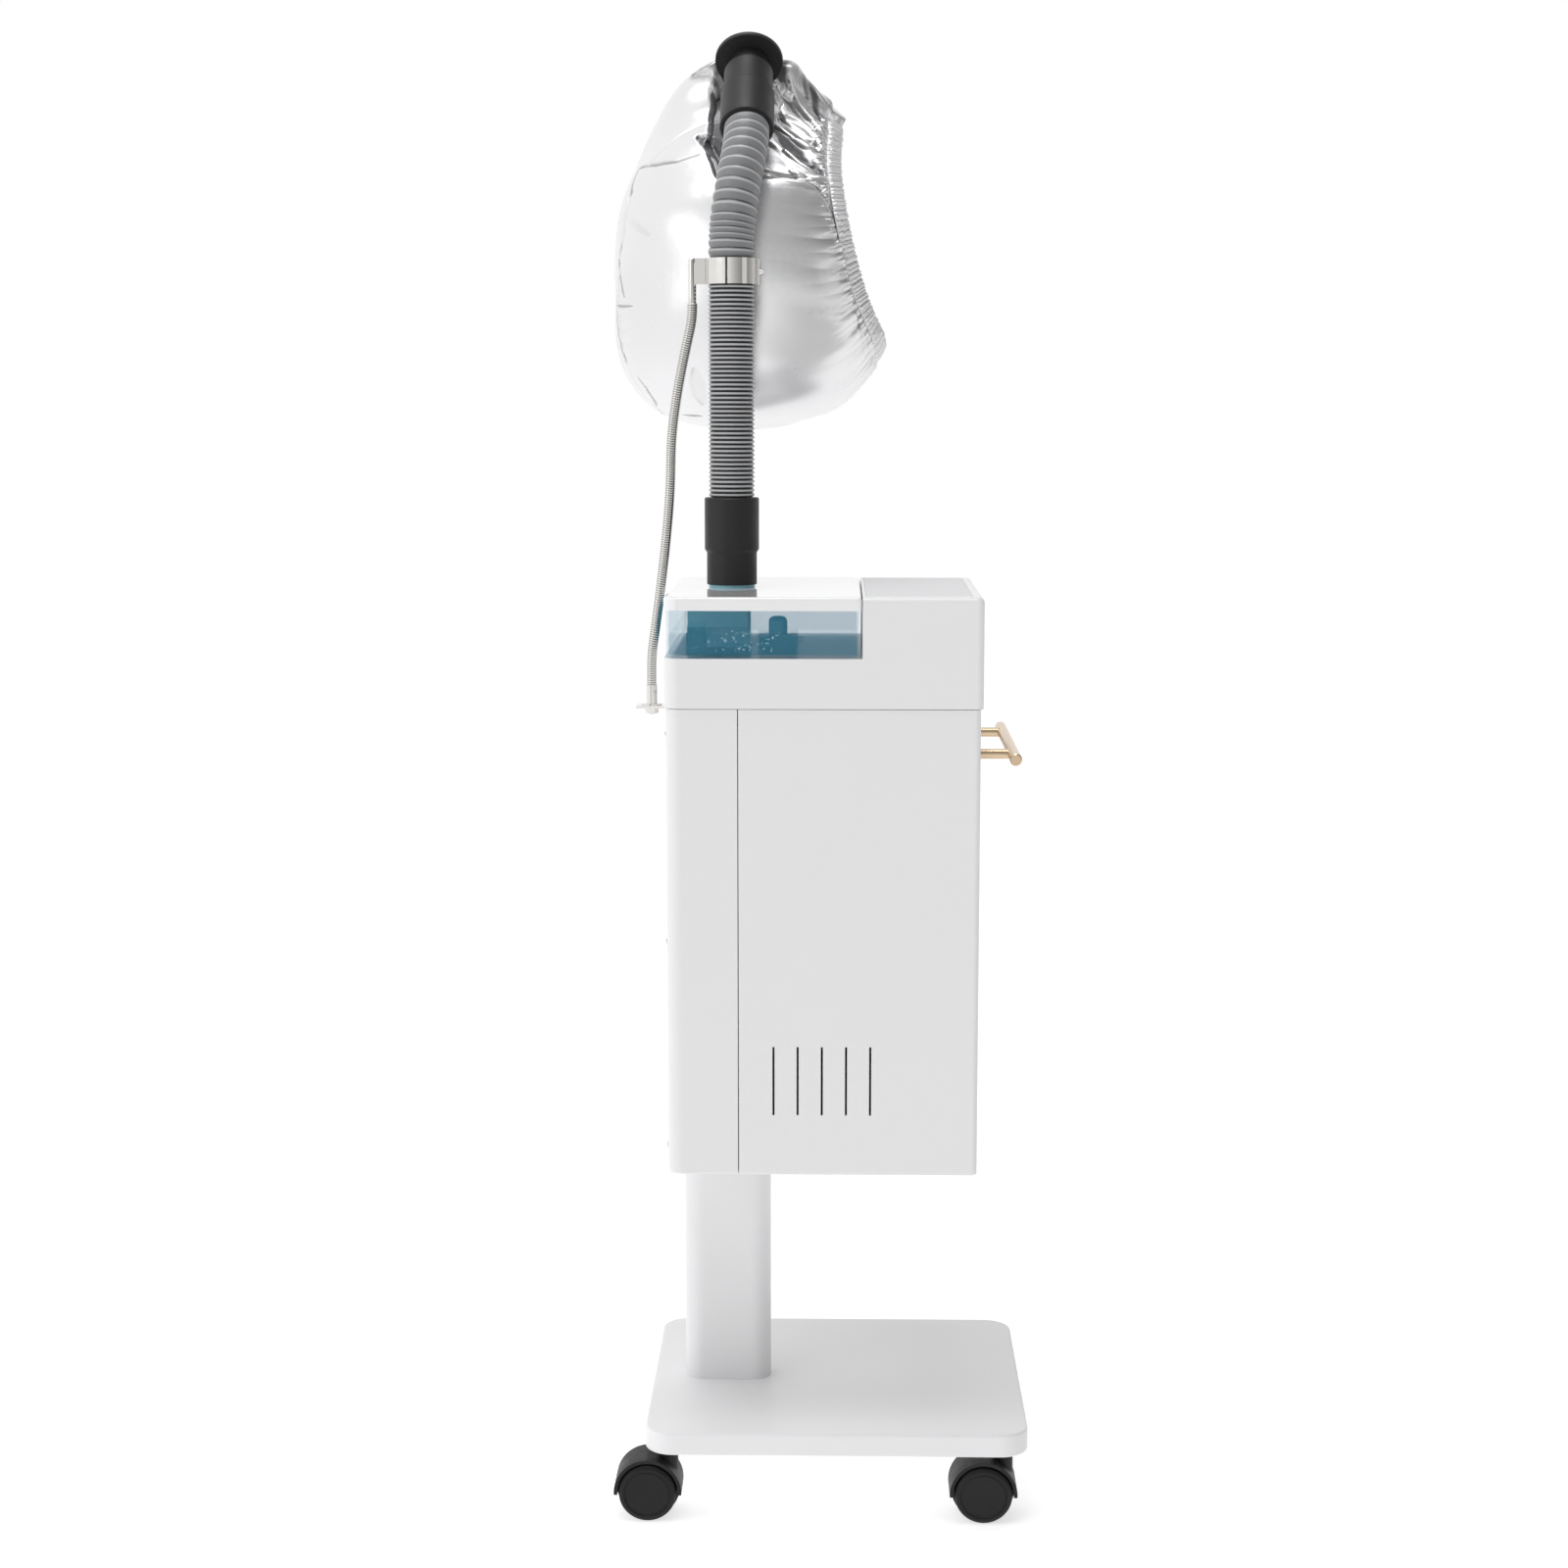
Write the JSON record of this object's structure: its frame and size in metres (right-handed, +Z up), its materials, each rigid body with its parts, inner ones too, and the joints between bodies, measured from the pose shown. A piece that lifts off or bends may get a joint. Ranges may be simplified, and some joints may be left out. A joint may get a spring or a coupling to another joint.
{
  "type": "hair steamer",
  "caption": "Rolling salon hair steamer: white cabinet on a column and castered base, blue water tank, ribbed mist hose on a chrome gooseneck and a silver fabric hood.",
  "frame": {"origin": "on the floor, under the centre of the base plate", "axes": "+Z up, +X towards the handle at the cabinet's front, +Y towards the side where the hood hangs"},
  "size_m": [0.3756, 0.4346, 1.2913],
  "materials": {
    "white_panel": "satin white powder coat",
    "cabinet_white": "satin white moulding",
    "white_base": "gloss white",
    "white_plastic": "gloss white moulding",
    "lid_white": "polished white moulding",
    "panel_glass": "grey glossy touch panel",
    "tank_blue": "clear blue moulding",
    "mist_blue": "translucent blue moulding",
    "float_blue": "blue moulding",
    "cuff_black": "satin black moulding",
    "caster_black": "fine textured black moulding",
    "tread_black": "satin black nylon",
    "hose_grey": "ribbed grey plastic",
    "chrome": "polished",
    "brass": "brushed champagne brass",
    "silver_fabric": "metallised satin fabric",
    "rim_fabric": "gathered elastic hem",
    "steel": "zinc plated",
    "dark_plastic": "matte",
    "grey_plastic": "matte",
    "board_green": "solder mask",
    "rocker_black": "gloss"
  },
  "bodies": {
    "base": {"base_plate": "white_base", "column": "white_panel", "column_screws": "steel", "caster_stems": "steel"},
    "cabinet": {"main_casing": "cabinet_white", "rear_cover": "cabinet_white", "rear_cover_screws": "steel", "cabinet_floor": "cabinet_white", "column_sleeve": "steel", "upper_housing": "white_plastic", "control_panel": "panel_glass", "control_board": "board_green", "nebuliser_discs": "steel", "blower_housing": "dark_plastic", "blower_motor": "steel", "mist_duct": "grey_plastic", "power_supply": "grey_plastic", "mains_inlet": "dark_plastic", "switch_bezel": "dark_plastic", "handle_bar": "brass", "handle_posts": "brass", "handle_screws": "steel", "hose_clip": "chrome", "clip_screw": "chrome", "gooseneck": "chrome", "gooseneck_bracket": "chrome", "bracket_screws": "chrome", "gooseneck_ferrule": "chrome", "gooseneck_nut": "chrome"},
    "lock_knob": {"lock_knob": "brass"},
    "rocker": {"switch_rocker": "rocker_black"},
    "impeller": {"blower_impeller": "grey_plastic"},
    "tank": {"water_tank": "tank_blue", "mist_chamber": "mist_blue", "tank_lid": "lid_white", "mist_spout": "mist_blue"},
    "float": {"float": "float_blue"},
    "hose_arm": {"lower_cuff": "cuff_black", "steam_hose": "hose_grey", "upper_cuff": "cuff_black"},
    "hood": {"hood_flange": "cuff_black", "hood_clamp_ring": "cuff_black", "hood_shell": "silver_fabric", "hood_rim": "rim_fabric"},
    "caster_front_right": {"caster_front_right_hood": "caster_black", "caster_front_right_axle": "steel"},
    "caster_front_right_left": {"caster_front_right_wheel_left": "tread_black"},
    "caster_front_right_right": {"caster_front_right_wheel_right": "tread_black"},
    "caster_rear_right": {"caster_rear_right_hood": "caster_black", "caster_rear_right_axle": "steel"},
    "caster_rear_right_left": {"caster_rear_right_wheel_left": "tread_black"},
    "caster_rear_right_right": {"caster_rear_right_wheel_right": "tread_black"},
    "caster_front_left": {"caster_front_left_hood": "caster_black", "caster_front_left_axle": "steel"},
    "caster_front_left_left": {"caster_front_left_wheel_left": "tread_black"},
    "caster_front_left_right": {"caster_front_left_wheel_right": "tread_black"},
    "caster_rear_left": {"caster_rear_left_hood": "caster_black", "caster_rear_left_axle": "steel"},
    "caster_rear_left_left": {"caster_rear_left_wheel_left": "tread_black"},
    "caster_rear_left_right": {"caster_rear_left_wheel_right": "tread_black"}
  },
  "joints": [
    {"name": "caster_front_right_swivel", "type": "hinge", "parent": "base", "child": "caster_front_right", "pos_m": [0.146, -0.127, 0.0586], "axis": [0, 0, 1], "continuous": true},
    {"name": "caster_front_right_left_spin", "type": "hinge", "parent": "caster_front_right", "child": "caster_front_right_left", "pos_m": [0.128, -0.127, 0.025], "axis": [0, 1, 0], "continuous": true},
    {"name": "caster_front_right_right_spin", "type": "hinge", "parent": "caster_front_right", "child": "caster_front_right_right", "pos_m": [0.128, -0.127, 0.025], "axis": [0, 1, 0], "continuous": true},
    {"name": "caster_rear_right_swivel", "type": "hinge", "parent": "base", "child": "caster_rear_right", "pos_m": [-0.146, -0.127, 0.0586], "axis": [0, 0, 1], "continuous": true},
    {"name": "caster_rear_right_left_spin", "type": "hinge", "parent": "caster_rear_right", "child": "caster_rear_right_left", "pos_m": [-0.164, -0.127, 0.025], "axis": [0, 1, 0], "continuous": true},
    {"name": "caster_rear_right_right_spin", "type": "hinge", "parent": "caster_rear_right", "child": "caster_rear_right_right", "pos_m": [-0.164, -0.127, 0.025], "axis": [0, 1, 0], "continuous": true},
    {"name": "caster_front_left_swivel", "type": "hinge", "parent": "base", "child": "caster_front_left", "pos_m": [0.146, 0.127, 0.0586], "axis": [0, 0, 1], "continuous": true},
    {"name": "caster_front_left_left_spin", "type": "hinge", "parent": "caster_front_left", "child": "caster_front_left_left", "pos_m": [0.128, 0.127, 0.025], "axis": [0, 1, 0], "continuous": true},
    {"name": "caster_front_left_right_spin", "type": "hinge", "parent": "caster_front_left", "child": "caster_front_left_right", "pos_m": [0.128, 0.127, 0.025], "axis": [0, 1, 0], "continuous": true},
    {"name": "caster_rear_left_swivel", "type": "hinge", "parent": "base", "child": "caster_rear_left", "pos_m": [-0.146, 0.127, 0.0586], "axis": [0, 0, 1], "continuous": true},
    {"name": "caster_rear_left_left_spin", "type": "hinge", "parent": "caster_rear_left", "child": "caster_rear_left_left", "pos_m": [-0.128, 0.127, 0.025], "axis": [0, 1, 0], "continuous": true},
    {"name": "caster_rear_left_right_spin", "type": "hinge", "parent": "caster_rear_left", "child": "caster_rear_left_right", "pos_m": [-0.128, 0.127, 0.025], "axis": [0, 1, 0], "continuous": true},
    {"name": "cabinet_height", "type": "slide", "parent": "base", "child": "cabinet", "axis": [0, 0, 1], "range_m": [-0.1, 0.1]},
    {"name": "lock_knob_turn", "type": "hinge", "parent": "cabinet", "child": "lock_knob", "pos_m": [-0.068, -0.035, 0.298], "axis": [0, 1, 0], "range_deg": [0, 360]},
    {"name": "power_switch", "type": "hinge", "parent": "cabinet", "child": "rocker", "pos_m": [-0.1405, 0.04, 0.345], "axis": [0, 0, 1], "range_deg": [-8, 8]},
    {"name": "impeller_spin", "type": "hinge", "parent": "cabinet", "child": "impeller", "pos_m": [0.03, 0, 0.56], "axis": [0, 1, 0], "continuous": true},
    {"name": "tank_lift", "type": "slide", "parent": "cabinet", "child": "tank", "axis": [0, 0, 1], "range_m": [0, 0.03]},
    {"name": "float_rise", "type": "slide", "parent": "tank", "child": "float", "axis": [0, 0, 1], "range_m": [0, 0.004]},
    {"name": "hose_swing", "type": "hinge", "parent": "tank", "child": "hose_arm", "pos_m": [-0.094, 0, 0.85], "axis": [0, 0, 1], "range_deg": [-180, 10]},
    {"name": "hood_turn", "type": "hinge", "parent": "hose_arm", "child": "hood", "pos_m": [-0.082, 0.1169, 1.2666], "axis": [0, 0.7193, 0.6947], "range_deg": [-20, 20]}
  ]
}
